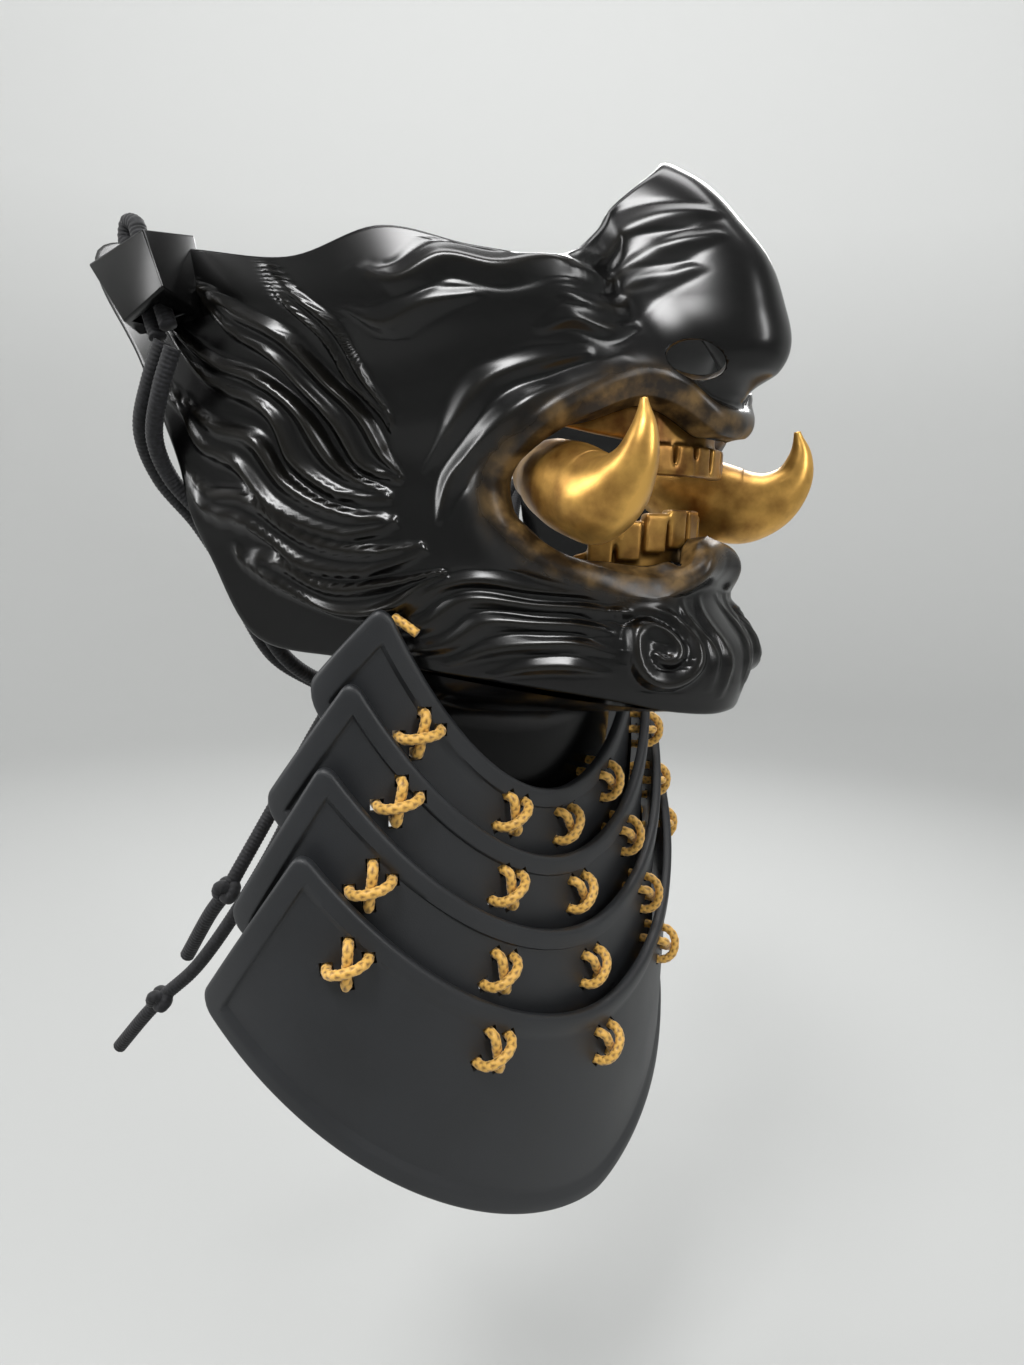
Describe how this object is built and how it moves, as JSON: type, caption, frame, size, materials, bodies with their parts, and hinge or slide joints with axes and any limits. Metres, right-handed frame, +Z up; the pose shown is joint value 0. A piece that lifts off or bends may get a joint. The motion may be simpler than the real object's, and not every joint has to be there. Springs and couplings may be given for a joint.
{
  "type": "samurai face guard with throat guard",
  "caption": "Fierce half mask with tusks and bared teeth, a head cord, and a throat guard of laced curved plates.",
  "frame": {"origin": "on the midplane, behind the mouth opening, where the wearer's face meets the mask", "axes": "+Z up; -Y is the way the face looks; +X is the wearer's left"},
  "size_m": [0.187, 0.191, 0.291],
  "materials": {
    "shell": "satin gloss",
    "plate": "fine grain",
    "gold": "antique gold paint, satin",
    "lacing": "braided",
    "cord": "ribbed"
  },
  "bodies": {
    "root": {"mask_shell": "shell", "tusk_right": "gold", "tusk_left": "gold", "teeth_upper": "gold", "teeth_lower": "gold", "lame_1": "plate", "lame_2": "plate", "lame_3": "plate", "lame_4": "plate", "lace_1_1": "lacing", "lace_1_2": "lacing", "lace_1_3": "lacing", "lace_1_4": "lacing", "lace_1_5": "lacing", "lace_2_1": "lacing", "lace_2_2": "lacing", "lace_2_3": "lacing", "lace_2_4": "lacing", "lace_2_5": "lacing", "lace_3_1": "lacing", "lace_3_2": "lacing", "lace_3_3": "lacing", "lace_3_4": "lacing", "lace_3_5": "lacing", "lace_4_1": "lacing", "lace_4_2": "lacing", "lace_4_3": "lacing", "lace_4_4": "lacing", "lace_4_5": "lacing", "corner_tie_right": "lacing", "corner_tie_left": "lacing", "head_cord_bight_right": "cord", "head_cord_bight_left": "cord", "head_cord_strand_a": "cord", "head_cord_strand_b_right": "cord", "head_cord_strand_b_left": "cord", "head_cord_tie": "cord", "cord_end_1": "cord", "end_knot_1": "cord", "cord_tail_1": "cord", "cord_end_2": "cord", "end_knot_2": "cord", "cord_tail_2": "cord"}
  },
  "joints": []
}
